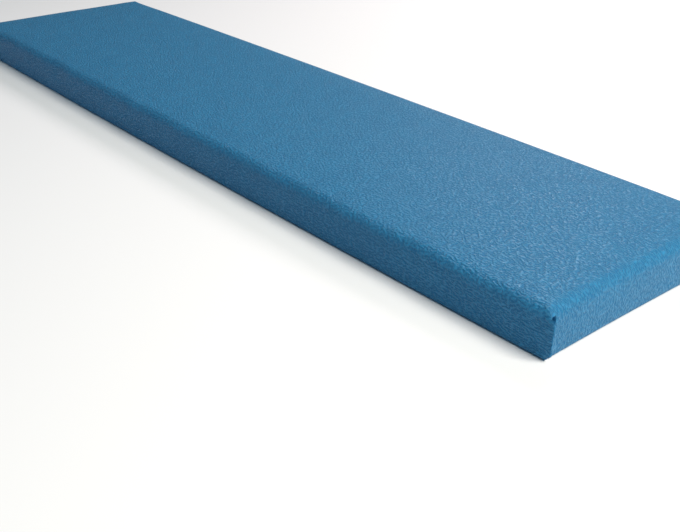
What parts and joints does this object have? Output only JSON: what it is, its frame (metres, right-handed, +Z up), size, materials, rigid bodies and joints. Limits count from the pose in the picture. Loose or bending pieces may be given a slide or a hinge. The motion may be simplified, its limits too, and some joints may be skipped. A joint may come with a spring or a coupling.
{
  "type": "bench cushion",
  "caption": "Long thin bench cushion: a firm foam slab in a plain heathered blue woven cover, with soft top edges and upright corner seams.",
  "frame": {"origin": "middle of the base, on the surface that the cushion lies on", "axes": "+X along the cushion's length, +Y across its width, +Z up out of its top"},
  "size_m": [1.1994, 0.2998, 0.0532],
  "materials": {
    "cover_cloth": "matt heathered mid-blue slub weave, with lighter flecks along the cushion's length"
  },
  "bodies": {
    "root": {"cushion": "cover_cloth"}
  },
  "joints": []
}
